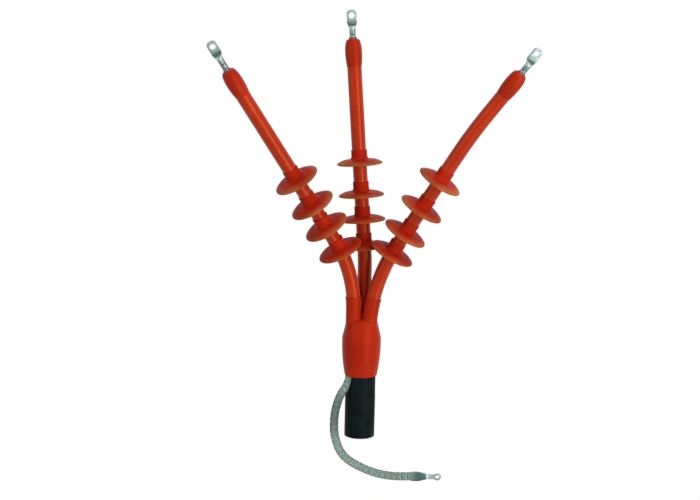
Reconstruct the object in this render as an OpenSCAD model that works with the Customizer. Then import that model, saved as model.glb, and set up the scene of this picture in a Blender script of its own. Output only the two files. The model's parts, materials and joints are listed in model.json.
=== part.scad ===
// Three-core outdoor cable termination: a screened cable, a breakout boot, and three sheathed
// and shedded legs that end in lugs. Millimetres, +Z up the cable, origin at the cable's cut end.

/* [Cable] */
// Diameter of the stranded conductor
conductor_d = 9.8; // [8:0.1:11]
// Thickness of the insulation with the conductor screen
insulation_t = 6.1; // [4.5:0.1:8]
// Thickness of the insulation screen
screen_t = 0.5; // [0.3:0.1:0.8]
// Thickness of the copper tape screen
copper_t = 0.3; // [0.2:0.1:0.6]
// Least thickness of the inner covering round the laid-up cores
cover_t = 5.2; // [3:0.1:6]
// Thickness of the outer sheath
sheath_t = 3.6; // [2.5:0.1:5]
// Depth to which the sheath is abraded for the boot's mastic
abraded_t = 0.4; // [0.4:0.1:0.8]
// Length of sheath below the abraded part, bare for a clamp
clamp_len = 100; // [80:1:110]
// Height at which the outer sheath is cut
sheath_end = 170; // [160:1:176]
// Turn of the three cores about the cable, from the back
core_turn_angle = -10; // [-20:1:20]

/* [Breakout boot] */
// Height of the boot's lower edge
boot_bottom = 145; // [138:1:147]
// Height of the top of the boot's body, where the fingers begin
boot_top = 277; // [268:1:282]
// Height of the boot's widest part
boot_belly_z = 220; // [208:1:228]
// How far the widest part stands out from the abraded sheath
boot_belly = 10.2; // [7:0.1:14]
// Wall of the boot's body
boot_wall = 2.2; // [1.5:0.1:3]
// Radius of the shoulder between body and fingers
shoulder_r = 20; // [12:1:24]
// Wall of the fingers
finger_wall = 1.5; // [1:0.1:2.5]
// Station of the fingers' ends along their legs
finger_end = 330; // [310:1:340]
// Height and stand-out of the lip at a finger's end
finger_lip = 0.7; // [0.3:0.1:1.5]
// Least gap between two fingers where they leave the body
finger_gap = 0.6; // [0.4:0.1:2]
// Thickness of the mastic between sheath and boot
seal_t = 0.7; // [0.4:0.1:1.5]
// Length of the mastic between sheath and boot
seal_len = 20; // [12:1:20]

/* [Leg tubes] */
// Wall of the stress control tube over the copper screen
stress_t = 1.8; // [1.2:0.1:3]
// Wall of the anti-tracking tube
tube_t = 2.5; // [1.5:0.1:3.5]
// Station at which the anti-tracking tube begins, inside the boot
tube_start = 239; // [237:1:248]
// Station at which the copper screen is cut
copper_end = 335; // [330:1:340]
// Length of insulation screen beyond the copper
screen_len = 25; // [10:1:35]
// Length of the stress mastic beyond the insulation screen
mastic_len = 20; // [10:1:30]

/* [Sheds] */
// Radius of a shed's rim
shed_r = 51.5; // [42:0.5:52]
// Thickness of a shed's disc
shed_t = 3.8; // [2.5:0.1:4.4]
// Height that a shed's disc drops from its root to its rim
shed_drop = 8; // [6:0.5:9]
// Radius of the fillet between collar and disc
shed_fillet = 8; // [4:0.5:10]
// Wall of a shed's collar
collar_t = 1.8; // [1:0.1:3]
// Height of a shed's collar above the disc
collar_h = 22; // [12:1:24]
// Depth of the collar below the disc
collar_skirt = 2; // [1:0.5:4]

/* [Lugs and sleeves] */
// Outer diameter of a lug's barrel
barrel_d = 14; // [13:0.5:16]
// Length of a lug's barrel, up to the slope into the palm
barrel_len = 55; // [48:1:65]
// Length of conductor inside the barrel
crimp_len = 46; // [44:1:47]
// Distance of the first crimp from the barrel's foot
crimp_in = 9; // [6:1:12]
// Pitch of the four crimps
crimp_pitch = 11; // [9:0.5:11]
// Depth of a crimp
crimp_depth = 0.5; // [0.2:0.1:0.8]
// Radius of the crimping die's nose
crimp_r = 6; // [4:0.5:8]
// Width of a lug's palm
palm_w = 22; // [20:0.5:28]
// Length of a lug's palm, from the slope to the tip
palm_len = 28; // [26:1:36]
// Thickness of a lug's palm
palm_t = 4.4; // [3:0.1:6]
// Length of the slope between barrel and palm
slope_len = 13; // [8:1:16]
// Radius of the palm's two corners
palm_corner = 8; // [3:0.5:9]
// Diameter of the bolt hole
hole_d = 13; // [10.5:0.5:15]
// Distance of the bolt hole from the palm's tip
hole_in = 12.5; // [11:0.5:18]
// Gap between the insulation's end and the barrel
barrel_gap = 3; // [1:1:6]
// Length of a sealing sleeve
sleeve_len = 60; // [50:1:70]
// Wall of a sealing sleeve at its lower edge
sleeve_t = 0.6; // [0.4:0.1:1.2]
// How far a sleeve's belly stands out from its lower edge
sleeve_belly = 2.3; // [1.5:0.1:3]
// Radius of a sleeve's upper shoulder
sleeve_round = 14; // [12:0.5:15]
// Diameter of a sleeve's upper mouth
mouth_d = 22.8; // [20:0.1:23.5]
// Length of the sleeve above the tube's end
sleeve_over = 16; // [10:1:24]
// Height of the mastic cone above a sleeve
cone_h = 5; // [3:0.5:8]

/* [Left leg] */
// Height at which the leg starts to bend
left_bend_z = 295; // [280:1:310]
// Radius of the bend
left_bend_r = 288; // [270:1:310]
// Lean of the leg after the bend
left_lean_angle = 34.6; // [32:0.1:37]
// Direction of the lean about the cable
left_turn_angle = 208; // [203:1:213]
// Station of the lug's tip
left_tip = 1010; // [980:1:1040]
// Station of the sleeve's top
left_sleeve_top = 936; // [930:1:942]
// Stations of the four sheds, from the lowest
left_sheds = [444, 510, 572, 642]; // [430:0.5:660]
// Turn of the lug's palm
left_palm_turn_angle = 0; // [-60:1:60]

/* [Middle leg] */
// Height at which the leg starts to bend
middle_bend_z = 385; // [370:1:400]
// Radius of the bend
middle_bend_r = 600; // [500:10:700]
// Lean of the leg after the bend
middle_lean_angle = 4.7; // [2:0.1:6]
// Direction of the lean about the cable
middle_turn_angle = 162; // [150:1:175]
// Station of the lug's tip
middle_tip = 971; // [950:1:1000]
// Station of the sleeve's top
middle_sleeve_top = 906; // [898:1:910]
// Stations of the four sheds, from the lowest
middle_sheds = [438, 499.5, 556, 628]; // [430:0.5:660]
// Turn of the lug's palm
middle_palm_turn_angle = 0; // [-60:1:60]

/* [Right leg] */
// Height at which the leg starts to bend
right_bend_z = 240; // [238:1:255]
// Radius of the bend
right_bend_r = 398; // [380:1:420]
// Lean of the leg after the bend
right_lean_angle = 32; // [30:0.1:34]
// Direction of the lean about the cable
right_turn_angle = 341; // [336:1:346]
// Length of the straight stretch before the second bend
right_straight = 252; // [235:1:270]
// Radius of the second bend
right_bend2_r = 1200; // [900:50:1500]
// Further lean after the second bend
right_lean2_angle = 5.5; // [2:0.1:8]
// Station of the lug's tip
right_tip = 1008; // [980:1:1040]
// Station of the sleeve's top
right_sleeve_top = 942; // [930:1:948]
// Stations of the four sheds, from the lowest
right_sheds = [442, 498, 566, 641.5]; // [430:0.5:660]
// Turn of the lug's palm
right_palm_turn_angle = 8; // [-60:1:60]

/* [Earth braid and lug] */
// Width of the flat braid
braid_w = 19; // [14:0.5:24]
// Thickness of the flat braid
braid_t = 3.2; // [2:0.1:4.5]
// Clearance between the braid's tail and the boot
braid_clear = 0.3; // [0.1:0.1:0.6]
// Height of the roll spring that clamps the braid's tail
spring_h = 15; // [10:1:16]
// Thickness of the roll spring's turns
spring_t = 1.2; // [0.6:0.1:2]
// Direction about the cable in which the braid leaves the boot
braid_face_angle = 219; // [214:1:224]
// Length of the earth lug's flattened barrel
earth_barrel_len = 36; // [30:1:40]
// Depth of the socket for the braid's end
socket_len = 18; // [14:1:20]
// Side wall of the earth lug's barrel beside the braid
socket_wall = 1.5; // [1:0.1:2.5]
// Clearance round the braid's end in the socket
socket_clear = 0.1; // [0.05:0.05:0.2]
// Width of the earth lug's barrel where it meets the neck
earth_end_w = 13; // [12:0.5:16]
// Width of the earth lug's neck
neck_w = 12; // [10:0.5:14]
// Outer diameter of the earth lug's ring
ring_d = 17; // [15:0.5:20]
// Diameter of the earth lug's hole
ring_hole_d = 8.4; // [6.4:0.1:9]
// Thickness of the earth lug's ring
ring_t = 2.6; // [2:0.1:4]
// Distance from the end of the barrel to the hole
ring_reach = 25; // [22:0.5:32]

/* [Hidden] */
$fa = 4;
$fs = 0.6;

RED = "#be2814";
DARK_RED = "#8f1e12";
TINNED = "#a9bab4";
COPPER = "#b8693a";

// Radii of a core, from the conductor outwards
conductor_r = conductor_d / 2;
insulation_r = conductor_r + insulation_t;
screen_r = insulation_r + screen_t;
core_r = screen_r + copper_t;
stress_r = core_r + stress_t;
tube_r = stress_r + tube_t;
finger_r = tube_r + finger_wall;

// The cores lie close together in the cable, and stand a finger apart above the crotch
core_gap = 0.5;
core_clear = 0.05;
core_pitch = (2 * core_r + core_gap) / sqrt(3);
finger_pitch = (2 * finger_r + finger_gap) / sqrt(3);
cover_r = core_pitch + core_r + cover_t;
sheath_r = cover_r + sheath_t;
sealed_r = sheath_r - abraded_t;

// Above the roll spring each core swings out by one S-shaped bend
cover_proud = 4;
spring_z = sheath_end + cover_proud + 6;
spread_z = spring_z + spring_h + 2;
spread_angle = 20;
spread_r = (finger_pitch - core_pitch) / 2 / (1 - cos(spread_angle));
spread_h = 2 * spread_r * sin(spread_angle);

// Boot: one large arc from the lower edge over the belly, and a shoulder arc tangent to it
boot_r = sealed_r + boot_belly;
boot_edge_r = sealed_r + seal_t + boot_wall;
boot_rise = boot_belly_z - boot_bottom;
boot_sag = boot_r - boot_edge_r;
boot_arc_r = (boot_rise * boot_rise + boot_sag * boot_sag) / (2 * boot_sag);

// Stations of the layers
screen_end = copper_end + screen_len;
mastic_end = screen_end + mastic_len;
lug_len = barrel_len + slope_len + palm_len;

// Shed disc: the dome's arc starts level at the end of the collar's fillet
collar_r = tube_r + collar_t;
dome_x = collar_r + shed_fillet;
dome_reach = shed_r - dome_x;
dome_r = (dome_reach * dome_reach + shed_drop * shed_drop) / (2 * shed_drop);
dome_angle = asin((dome_reach - shed_t / 2) / (dome_r - shed_t / 2));

// A leg: [core azimuth, route, tip, sleeve top, shed stations, palm turn].
// A route is a list of stretches: [0, length] is straight, [radius, angle, turn] is a bend.
function spread(az) = [
  [0, spread_z],
  [spread_r, spread_angle, az],
  [spread_r, spread_angle, az + 180]
];
function straight_to(z) = [0, z - spread_z - spread_h];
left_az = 210 + core_turn_angle;
middle_az = 90 + core_turn_angle;
right_az = 330 + core_turn_angle;
LEFT = [
  left_az,
  concat(spread(left_az), [
    straight_to(left_bend_z),
    [left_bend_r, left_lean_angle, left_turn_angle],
    [0, left_tip]
  ]),
  left_tip, left_sleeve_top, left_sheds, left_palm_turn_angle
];
MIDDLE = [
  middle_az,
  concat(spread(middle_az), [
    straight_to(middle_bend_z),
    [middle_bend_r, middle_lean_angle, middle_turn_angle],
    [0, middle_tip]
  ]),
  middle_tip, middle_sleeve_top, middle_sheds, middle_palm_turn_angle
];
RIGHT = [
  right_az,
  concat(spread(right_az), [
    straight_to(right_bend_z),
    [right_bend_r, right_lean_angle, right_turn_angle],
    [0, right_straight],
    [right_bend2_r, right_lean2_angle, right_turn_angle],
    [0, right_tip]
  ]),
  right_tip, right_sleeve_top, right_sheds, right_palm_turn_angle
];
LEGS = [LEFT, MIDDLE, RIGHT];

function azimuth(leg) = leg[0];
function route(leg) = leg[1];
function lug_foot(leg) = leg[2] - lug_len;
function sleeve_top(leg) = leg[3];
function tube_end(leg) = leg[3] - sleeve_over;
function insulation_end(leg) = lug_foot(leg) - barrel_gap;
function shed_at(leg, i) = leg[4][i];
function palm_turn(leg) = leg[5];

// Earth braid: its route from where it leaves the boot to its end in the lug
BRAID_WAY = [
  [0, 0, 0], [-1.5, -0.8, -11], [-6, -1.6, -25], [-12.5, -2.6, -36], [-18.5, -3.6, -48],
  [-23.5, -4.6, -62], [-27.5, -5.6, -78], [-30, -6.6, -96], [-30.5, -7.6, -114], [-29.5, -8.6, -132],
  [-25.5, -9.6, -150], [-19.5, -10.6, -167], [-10.5, -11.6, -182], [1.5, -11.6, -194],
  [16.5, -11.6, -204], [33.5, -11.6, -213], [51.5, -11.6, -220.5], [70.5, -11.6, -226.5],
  [90.5, -11.6, -230.5], [111.5, -11.6, -232.5], [132.5, -11.6, -232.5], [148, -11.6, -232],
  [157, -11.6, -232], [166, -11.6, -232]
];
braid_seat = sealed_r + braid_t / 2;
braid_exit = [braid_seat * cos(braid_face_angle), braid_seat * sin(braid_face_angle), boot_bottom + 1];
BRAID = [for (p = BRAID_WAY) braid_exit + p];
front_face = 270;
// Number of points over which the braid turns its face to the front
turn_points = 7;

// Hairline between two stretches, and length of the bridge across it
hair = 0.05;
bridge = 1;
// Facets of a full circle for the large flat arcs, of which only a little shows
flat_arc = 360;

// Straight stretches and bends of a route

function stretch_len(g) = g[0] == 0 ? g[1] : g[0] * g[1] * PI / 180;

module go_along(g, d) {
  if (g[0] == 0) {
    translate([0, 0, d]) children();
  } else {
    angle = d / g[0] * 180 / PI;
    rotate([0, 0, g[2]])
      translate([g[0], 0, 0])
        rotate([0, angle, 0])
          translate([-g[0], 0, 0])
            rotate([0, 0, -g[2]]) children();
  }
}

module draw_stretch(g, from, to) {
  if (g[0] == 0) {
    translate([0, 0, from]) linear_extrude(to - from) children();
  } else {
    degrees = 180 / PI / g[0];
    rotate([0, 0, g[2]])
      translate([g[0], 0, 0])
        rotate([-90, 0, 0])
          rotate([0, 0, 180 + from * degrees])
            rotate_extrude(angle = (to - from) * degrees)
              translate([g[0], 0]) children();
  }
}

// Sweeps a tube, or a rod where inner is 0, along a list of stretches, between two stations.
// The stretches stop a hair short of each other, and a thinner bridge inside the wall joins them.
module sweep(stretches, from, to, outer, inner, i = 0, done = 0) {
  g = stretches[i];
  l = stretch_len(g);
  a = max(from - done, i == 0 ? 0 : hair / 2);
  b = min(to - done, l - hair / 2);
  if (b > a) draw_stretch(g, a, b) ring(outer, inner);
  if (to > done + l) go_along(g, l) {
    if (from < done + l)
      translate([0, 0, -bridge / 2])
        linear_extrude(bridge) ring(outer - hair, inner > 0 ? inner + hair : 0);
    sweep(stretches, from, to, outer, inner, i + 1, done + l);
  }
}

// Moves to a station on a list of stretches
module move_to(stretches, station, i = 0, done = 0) {
  g = stretches[i];
  l = stretch_len(g);
  if (station <= done + l || i == len(stretches) - 1) {
    go_along(g, station - done) children();
  } else {
    go_along(g, l) move_to(stretches, station, i + 1, done + l) children();
  }
}

module in_cable(leg) {
  rotate([0, 0, azimuth(leg)])
    translate([core_pitch, 0, 0])
      rotate([0, 0, -azimuth(leg)]) children();
}

module along(leg, from, to, outer, inner = 0) {
  in_cable(leg) sweep(route(leg), from, to, outer, inner);
}

module at(leg, station) {
  in_cable(leg) move_to(route(leg), station) children();
}

module ring(outer, inner) {
  difference() {
    circle(outer);
    if (inner > 0) circle(inner);
  }
}

// Cable

module outer_sheath() {
  color("#14191b") rotate_extrude() polygon([
    [cover_r, 0],
    [sheath_r, 0],
    [sheath_r, clamp_len],
    [sealed_r, clamp_len],
    [sealed_r, sheath_end],
    [cover_r, sheath_end]
  ]);
}

module core_filler() {
  color("#3b3d3e") linear_extrude(sheath_end + cover_proud) difference() {
    circle(cover_r);
    for (leg = LEGS) rotate(azimuth(leg)) translate([core_pitch, 0]) circle(core_r + core_clear);
  }
}

module conductor(leg) {
  color(COPPER) along(leg, 0, lug_foot(leg) + crimp_len, conductor_r);
}

module insulation(leg) {
  color("#e8e4d6") along(leg, 0, insulation_end(leg), insulation_r, conductor_r);
}

module insulation_screen(leg) {
  color("#26282a") along(leg, 0, screen_end, screen_r, insulation_r);
}

module copper_screen(leg) {
  color(COPPER) along(leg, 0, copper_end, core_r, screen_r);
}

// Leg tubes

module stress_mastic(leg) {
  color("#d7b23a") difference() {
    along(leg, copper_end, mastic_end, core_r, insulation_r);
    along(leg, copper_end - 1, screen_end, screen_r);
  }
}

module stress_control_tube(leg) {
  color("#1d1d1f") difference() {
    along(leg, tube_start, insulation_end(leg), stress_r, insulation_r);
    along(leg, tube_start - 1, mastic_end, core_r);
  }
}

module anti_tracking_tube(leg) {
  color(RED) along(leg, tube_start, tube_end(leg), tube_r, stress_r);
}

// Sheds

// Half section of a shed, with the rim's middle at height 0
module shed_section() {
  root = shed_drop + shed_t / 2;
  translate([0, root - shed_t - collar_skirt]) square([collar_r, collar_skirt + shed_t + collar_h]);
  translate([0, root - shed_t]) square([dome_x, shed_t]);
  translate([dome_x, root - dome_r]) {
    intersection() {
      ring(dome_r, dome_r - shed_t);
      polygon([
        [0, 0],
        [0, 2 * dome_r],
        2 * dome_r * [sin(dome_angle), cos(dome_angle)]
      ]);
    }
    translate((dome_r - shed_t / 2) * [sin(dome_angle), cos(dome_angle)]) circle(shed_t / 2);
  }
  difference() {
    translate([collar_r, root]) square(shed_fillet);
    translate([dome_x, root + shed_fillet]) circle(shed_fillet);
  }
}

// The bore follows the tube, also where the leg bends
module shed(leg, i) {
  station = shed_at(leg, i);
  reach = collar_h + shed_drop + shed_t + collar_skirt;
  color(RED) difference() {
    at(leg, station) rotate_extrude() shed_section();
    along(leg, station - reach, station + 2 * reach, tube_r);
  }
}

// Lugs and sleeves

// Half section of a sleeve's outside: a flat arc for the belly, and a shoulder arc tangent to it
module sleeve_outside() {
  belly_r = tube_r + sleeve_t + sleeve_belly;
  half = sleeve_len / 2;
  arc_r = (half * half + sleeve_belly * sleeve_belly) / (2 * sleeve_belly);
  arc_x = belly_r - arc_r;
  centre_z = sleeve_len - 0.75 * sleeve_round;
  centre_x = arc_x + sqrt(pow(arc_r - sleeve_round, 2) - pow(centre_z - half, 2));
  tangent_z = half + (centre_z - half) * arc_r / (arc_r - sleeve_round);
  intersection() {
    union() {
      intersection() {
        translate([arc_x, half]) circle(arc_r, $fn = flat_arc);
        translate([0, -1]) square([belly_r, tangent_z + 1]);
      }
      translate([centre_x, centre_z]) circle(sleeve_round);
    }
    square([2 * belly_r, sleeve_len]);
  }
}

// Half section of a sleeve's inside: snug on the tube, then closing in to the mouth
module sleeve_inside() {
  polygon([
    [0, -1],
    [tube_r, -1],
    [tube_r, sleeve_len - sleeve_over],
    [mouth_d / 2, sleeve_len],
    [mouth_d / 2, sleeve_len + 1],
    [0, sleeve_len + 1]
  ]);
}

module lug_sleeve(leg) {
  color(RED) at(leg, sleeve_top(leg) - sleeve_len) rotate_extrude() difference() {
    sleeve_outside();
    sleeve_inside();
  }
}

// Mastic from the insulation's end, round the barrel, up to a small cone above the sleeve
module lug_seal(leg) {
  foot = insulation_end(leg);
  color(DARK_RED) at(leg, foot) rotate_extrude() difference() {
    union() {
      square([stress_r, tube_end(leg) - foot]);
      intersection() {
        translate([0, sleeve_top(leg) - sleeve_len - foot]) sleeve_inside();
        translate([0, tube_end(leg) - foot]) square([tube_r, sleeve_over]);
      }
      translate([0, sleeve_top(leg) - foot]) polygon([
        [0, 0],
        [mouth_d / 2 - 1, 0],
        [barrel_d / 2 + 0.6, cone_h],
        [0, cone_h]
      ]);
    }
    square([conductor_r, barrel_gap]);
    translate([0, barrel_gap]) barrel_section();
  }
}

// Half section of a lug's barrel, pressed in at the crimps
module barrel_section() {
  difference() {
    square([barrel_d / 2, barrel_len]);
    for (i = [0:3])
      translate([barrel_d / 2 + crimp_r - crimp_depth, crimp_in + i * crimp_pitch]) circle(crimp_r);
  }
}

module palm_outline() {
  half = palm_w / 2;
  translate([-half, 0]) square([palm_w, palm_len - palm_corner]);
  translate([palm_corner - half, 0]) square([palm_w - 2 * palm_corner, palm_len]);
  for (side = [-1, 1]) translate([side * (half - palm_corner), palm_len - palm_corner]) circle(palm_corner);
}

// Tubular lug: round barrel, a slope on the front, and a palm flush with the barrel's back
module lug(leg) {
  back = barrel_d / 2;
  color(TINNED) at(leg, lug_foot(leg)) rotate([0, 0, palm_turn(leg)]) difference() {
    union() {
      rotate_extrude() barrel_section();
      hull() {
        translate([0, 0, barrel_len - 0.5]) cylinder(h = 0.5, d = barrel_d, $fn = 32);
        translate([-palm_w / 2, back - palm_t, barrel_len + slope_len]) cube([palm_w, palm_t, 0.5]);
      }
      translate([0, back, barrel_len + slope_len]) rotate([90, 0, 0]) linear_extrude(palm_t) palm_outline();
    }
    translate([0, 0, -1]) cylinder(h = crimp_len + 1, r = conductor_r);
    translate([0, 0, lug_len - hole_in]) rotate([90, 0, 0]) cylinder(h = 4 * barrel_d, d = hole_d, center = true);
  }
}

// Breakout boot

// Half section of the boot's body; inset takes it in by a wall, below lengthens it downwards
module body_section(inset, below) {
  arc = boot_arc_r - inset;
  fillet = shoulder_r - inset;
  arc_x = boot_r - boot_arc_r;
  centre_z = boot_top - shoulder_r;
  centre_x = arc_x + sqrt(pow(boot_arc_r - shoulder_r, 2) - pow(centre_z - boot_belly_z, 2));
  tangent_z = boot_belly_z + (centre_z - boot_belly_z) * arc / (arc - fillet);
  intersection() {
    translate([arc_x, boot_belly_z]) circle(arc, $fn = flat_arc);
    translate([0, boot_bottom - below]) square([boot_r, tangent_z - boot_bottom + below]);
  }
  translate([centre_x, centre_z]) circle(fillet);
  translate([0, boot_bottom - below]) square([centre_x, boot_top - inset - boot_bottom + below]);
}

module body_cavity() {
  rotate_extrude() body_section(boot_wall, 3);
}

// Stands square to the braid where it leaves the boot: x along its width, y outwards
module at_braid() {
  rotate([0, 0, braid_face_angle - 90]) children();
}

// Bulge of the boot's lower edge over the braid's tail, or the room inside it
module braid_room(wall, below) {
  half = braid_w / 2 + braid_clear + wall;
  reach = sealed_r + braid_t + braid_clear + wall;
  corner = 1 + wall;
  at_braid() translate([0, 0, boot_bottom - below]) linear_extrude(sheath_end - boot_bottom) {
    translate([-half, 0]) square([2 * half, reach - corner]);
    translate([corner - half, 0]) square([2 * half - 2 * corner, reach]);
    for (side = [-1, 1]) translate([side * (half - corner), reach - corner]) circle(corner);
  }
}

// The pieces overrun the lower edge by different lengths, and one cut trims them
module breakout_boot() {
  lip_len = 4;
  color(RED) difference() {
    union() {
      rotate_extrude() body_section(0, 1);
      braid_room(boot_wall, 2);
      for (leg = LEGS) {
        along(leg, boot_top - shoulder_r, finger_end - lip_len / 2, finger_r);
        along(leg, finger_end - lip_len, finger_end, finger_r + finger_lip);
      }
    }
    braid_room(0, 4);
    body_cavity();
    for (leg = LEGS) along(leg, boot_top - shoulder_r, finger_end + 1, tube_r);
    translate([0, 0, boot_bottom - 10]) cylinder(h = 10, r = 2 * boot_r);
  }
}

// Fills the boot's cavity under the crotch, round the three tubes
module crotch_mastic() {
  low = tube_start + 4;
  color(DARK_RED) difference() {
    intersection() {
      body_cavity();
      translate([0, 0, low]) cylinder(h = boot_top - low, r = boot_r);
    }
    for (leg = LEGS) along(leg, tube_start, finger_end, tube_r);
  }
}

// Seals the boot's lower end on the sheath, round the braid's tail
module sheath_mastic() {
  color(DARK_RED) difference() {
    intersection() {
      union() {
        body_cavity();
        braid_room(0, 4);
      }
      translate([0, 0, boot_bottom + 2]) cylinder(h = seal_len, r = boot_r + braid_t);
    }
    cylinder(h = sheath_end, r = sealed_r);
    braid_tail_solid();
  }
}

// Earth braid

// Distance of the clamped tail from the cable's axis: it lies on the nearest core
tail_seat = max([for (leg = LEGS) core_pitch * cos(azimuth(leg) - braid_face_angle)]) + core_r;
tail_top = spring_z + spring_h + 1;

module braid_tail_solid() {
  at_braid() translate([-braid_w / 2, 0, 0]) rotate([90, 0, 90]) linear_extrude(braid_w) polygon([
    [sealed_r, BRAID[0].z],
    [sealed_r + braid_t, BRAID[0].z],
    [sealed_r + braid_t, sheath_end + 1],
    [tail_seat + braid_t, spring_z - 1],
    [tail_seat + braid_t, tail_top],
    [tail_seat, tail_top],
    [tail_seat, spring_z - 1],
    [cover_r, sheath_end + cover_proud],
    [sealed_r, sheath_end]
  ]);
}

module earth_braid_tail() {
  color(TINNED) braid_tail_solid();
}

module spring_outline(grow) {
  hull() {
    for (leg = LEGS) rotate(azimuth(leg)) translate([core_pitch, 0]) circle((core_r + grow) / cos(180 / 48), $fn = 48);
    rotate(braid_face_angle - 90) translate([-braid_w / 2 - grow, tail_seat]) square([braid_w + 2 * grow, braid_t + grow]);
  }
}

module roll_spring() {
  color("#c9cdd0") translate([0, 0, spring_z]) linear_extrude(spring_h) difference() {
    spring_outline(spring_t);
    spring_outline(0);
  }
}

function unit(v) = v / norm(v);
function braid_way(i) = unit(BRAID[min(i + 1, len(BRAID) - 1)] - BRAID[max(i - 1, 0)]);
function braid_out(i) =
  let (a = braid_face_angle + (front_face - braid_face_angle) * min(i / turn_points, 1))
  [cos(a), sin(a), 0];
function braid_across(i) = i == 0 ? unit(cross([0, 0, -1], braid_out(0))) : unit(cross(braid_way(i), braid_out(i)));
function braid_thick(i) = i == 0 ? braid_out(0) : unit(cross(braid_across(i), braid_way(i)));

// Eight points round the flat braid: [across, through]
half_w = braid_w / 2;
half_t = braid_t / 2;
BRAID_SECTION = [
  [half_w, -half_t / 2], [half_w, half_t / 2],
  [half_w - half_t / 2, half_t], [half_t / 2 - half_w, half_t],
  [-half_w, half_t / 2], [-half_w, -half_t / 2],
  [half_t / 2 - half_w, -half_t], [half_w - half_t / 2, -half_t]
];

module earth_braid() {
  sides = len(BRAID_SECTION);
  last = len(BRAID) - 1;
  color(TINNED) polyhedron(
    points = [
      for (i = [0:last]) for (p = BRAID_SECTION) BRAID[i] + p.x * braid_across(i) + p.y * braid_thick(i)
    ],
    faces = concat(
      [[for (k = [0:sides - 1]) k]],
      [
        for (i = [0:last - 1]) for (k = [0:sides - 1])
          let (n = (k + 1) % sides, here = i * sides, next = here + sides)
          each [[here + n, here + k, next + k], [here + n, next + k, next + n]]
      ],
      [[for (k = [sides - 1:-1:0]) last * sides + k]]
    )
  );
}

// Ring lug: a flattened barrel that narrows from the braid's socket to a neck and a ring
module earth_lug() {
  mouth_w = braid_w + 2 * socket_clear + 2 * socket_wall;
  mouth_t = braid_t + 2 * socket_clear + 2 * socket_wall;
  color(TINNED) translate(BRAID[len(BRAID) - 1]) rotate([90, 0, 0]) translate([-socket_len, 0, 0]) difference() {
    union() {
      translate([0, 0, -mouth_t / 2]) linear_extrude(mouth_t) polygon([
        [0, -mouth_w / 2],
        [socket_len, -mouth_w / 2],
        [earth_barrel_len, -earth_end_w / 2],
        [earth_barrel_len, earth_end_w / 2],
        [socket_len, mouth_w / 2],
        [0, mouth_w / 2]
      ]);
      translate([socket_len, 0, -ring_t / 2]) linear_extrude(ring_t) {
        reach = earth_barrel_len + ring_reach - socket_len;
        translate([0, -neck_w / 2]) square([reach, neck_w]);
        translate([reach, 0]) circle(d = ring_d);
      }
    }
    translate([-1, -braid_w / 2 - socket_clear, -braid_t / 2 - socket_clear])
      cube([socket_len + 1, braid_w + 2 * socket_clear, braid_t + 2 * socket_clear]);
    translate([earth_barrel_len + ring_reach, 0, 0]) cylinder(h = 4 * ring_t, d = ring_hole_d, center = true);
  }
}

outer_sheath();
core_filler();
breakout_boot();
crotch_mastic();
sheath_mastic();
roll_spring();
earth_braid_tail();
earth_braid();
earth_lug();

conductor(LEFT);  // left_conductor
insulation(LEFT);  // left_insulation
insulation_screen(LEFT);  // left_insulation_screen
copper_screen(LEFT);  // left_copper_screen
stress_mastic(LEFT);  // left_stress_mastic
stress_control_tube(LEFT);  // left_stress_control_tube
anti_tracking_tube(LEFT);  // left_anti_tracking_tube
shed(LEFT, 0);  // left_shed_1
shed(LEFT, 1);  // left_shed_2
shed(LEFT, 2);  // left_shed_3
shed(LEFT, 3);  // left_shed_4
lug_sleeve(LEFT);  // left_lug_sleeve
lug_seal(LEFT);  // left_lug_seal
lug(LEFT);  // left_lug

conductor(MIDDLE);  // middle_conductor
insulation(MIDDLE);  // middle_insulation
insulation_screen(MIDDLE);  // middle_insulation_screen
copper_screen(MIDDLE);  // middle_copper_screen
stress_mastic(MIDDLE);  // middle_stress_mastic
stress_control_tube(MIDDLE);  // middle_stress_control_tube
anti_tracking_tube(MIDDLE);  // middle_anti_tracking_tube
shed(MIDDLE, 0);  // middle_shed_1
shed(MIDDLE, 1);  // middle_shed_2
shed(MIDDLE, 2);  // middle_shed_3
shed(MIDDLE, 3);  // middle_shed_4
lug_sleeve(MIDDLE);  // middle_lug_sleeve
lug_seal(MIDDLE);  // middle_lug_seal
lug(MIDDLE);  // middle_lug

conductor(RIGHT);  // right_conductor
insulation(RIGHT);  // right_insulation
insulation_screen(RIGHT);  // right_insulation_screen
copper_screen(RIGHT);  // right_copper_screen
stress_mastic(RIGHT);  // right_stress_mastic
stress_control_tube(RIGHT);  // right_stress_control_tube
anti_tracking_tube(RIGHT);  // right_anti_tracking_tube
shed(RIGHT, 0);  // right_shed_1
shed(RIGHT, 1);  // right_shed_2
shed(RIGHT, 2);  // right_shed_3
shed(RIGHT, 3);  // right_shed_4
lug_sleeve(RIGHT);  // right_lug_sleeve
lug_seal(RIGHT);  // right_lug_seal
lug(RIGHT);  // right_lug
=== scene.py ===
"""Looks of a three-core outdoor cable termination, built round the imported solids."""

import json
import math

import bmesh
import bpy
from mathutils import Matrix, Vector


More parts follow.
